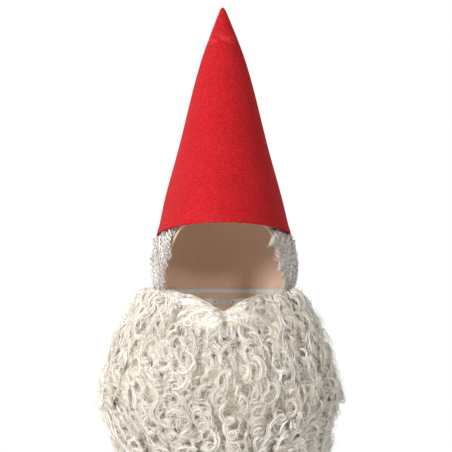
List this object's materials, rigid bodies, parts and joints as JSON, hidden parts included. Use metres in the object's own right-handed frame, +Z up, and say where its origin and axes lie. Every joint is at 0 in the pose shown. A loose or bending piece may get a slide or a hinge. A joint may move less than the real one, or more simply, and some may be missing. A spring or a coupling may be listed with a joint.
{
  "type": "gnome fancy-dress hat, wig and beard set",
  "caption": "Wearable gnome costume set: tall pointed red felt hat, short curly white wig, and full curly beard with a moustache, held by an elastic.",
  "frame": {"origin": "on the wearer's middle plane and head axis, level with the hat's lower edge at the temples", "axes": "+Z up towards the hat's point, -Y towards the face, +X to the viewer's right from the front"},
  "size_m": [0.2772, 0.2671, 0.5547],
  "materials": {
    "red_felt": "matte",
    "red_thread": "satin",
    "stiffener": "matte",
    "black_band": "matte",
    "label_white": "matte",
    "cap_net": "matte",
    "elastic_white": "matte",
    "weft_tape": "matte",
    "wig_fibre": "satin",
    "beard_fibre": "satin",
    "hook_wire": "gloss"
  },
  "bodies": {
    "wig": {"wig_cap_net": "cap_net", "wig_front_band": "cap_net", "wig_nape_band": "elastic_white", "wig_ear_tab_left": "cap_net", "wig_ear_tab_right": "cap_net", "wig_weft_tapes": "weft_tape", "wig_curls_crown": "wig_fibre", "wig_curls_left": "wig_fibre", "wig_curls_right": "wig_fibre", "wig_curls_back": "wig_fibre", "nape_loop_tape": "weft_tape", "elastic_strap_back": "elastic_white"},
    "hat": {"hat_cone_felt": "red_felt", "hat_stiffener": "stiffener", "hat_sweatband": "black_band", "hat_hem_fold": "red_felt", "hat_back_seam": "red_felt", "hat_label_blank": "label_white", "hat_hem_stitches": "red_thread"},
    "nape_left": {"nape_strap_left": "elastic_white", "nape_hook_left": "hook_wire"},
    "nape_right": {"nape_strap_right": "elastic_white", "nape_hook_right": "hook_wire"},
    "beard_elastic": {"elastic_side_left": "elastic_white", "elastic_side_right": "elastic_white"},
    "beard": {"beard_backing_net": "cap_net", "beard_mouth_binding": "weft_tape", "beard_top_binding": "elastic_white", "beard_centre_seam": "weft_tape", "beard_weft_tapes": "weft_tape", "beard_curls_row_1": "beard_fibre", "beard_curls_row_2": "beard_fibre", "beard_curls_row_3": "beard_fibre", "beard_curls_row_4": "beard_fibre", "beard_curls_row_5": "beard_fibre", "beard_curls_row_6": "beard_fibre", "beard_curls_row_7": "beard_fibre", "strap_tack_left": "elastic_white", "strap_tack_right": "elastic_white"},
    "moustache": {"moustache_tape": "weft_tape", "moustache_tacks": "weft_tape", "moustache_hair_left": "beard_fibre", "moustache_hair_right": "beard_fibre"}
  },
  "joints": [
    {"name": "hat_lift", "type": "slide", "parent": "wig", "child": "hat", "axis": [0, 0.1633, 0.9866], "range_m": [0, 0.15]},
    {"name": "beard_swing", "type": "hinge", "parent": "wig", "child": "beard_elastic", "pos_m": [0, 0.02, -0.063], "axis": [1, 0, 0], "range_deg": [0, 10], "stiffness_Nm_per_rad": 1.5, "springref_deg": -17.19},
    {"name": "beard_pull", "type": "slide", "parent": "beard_elastic", "child": "beard", "axis": [0, -0.8, -0.6], "range_m": [0, 0.045], "stiffness_N_per_m": 60, "springref_m": -0.05, "deforming": ["elastic_side_left", "elastic_side_right"]},
    {"name": "moustache_lift", "type": "hinge", "parent": "beard", "child": "moustache", "pos_m": [0, -0.05, -0.06], "axis": [-1, 0, 0], "range_deg": [0, 25]},
    {"name": "nape_adjust_left", "type": "hinge", "parent": "wig", "child": "nape_left", "pos_m": [0, 0.033, -0.076], "axis": [0, 0, -1], "range_deg": [0, 6]},
    {"name": "nape_adjust_right", "type": "hinge", "parent": "wig", "child": "nape_right", "pos_m": [0, 0.033, -0.076], "axis": [0, 0, 1], "range_deg": [0, 6]}
  ]
}
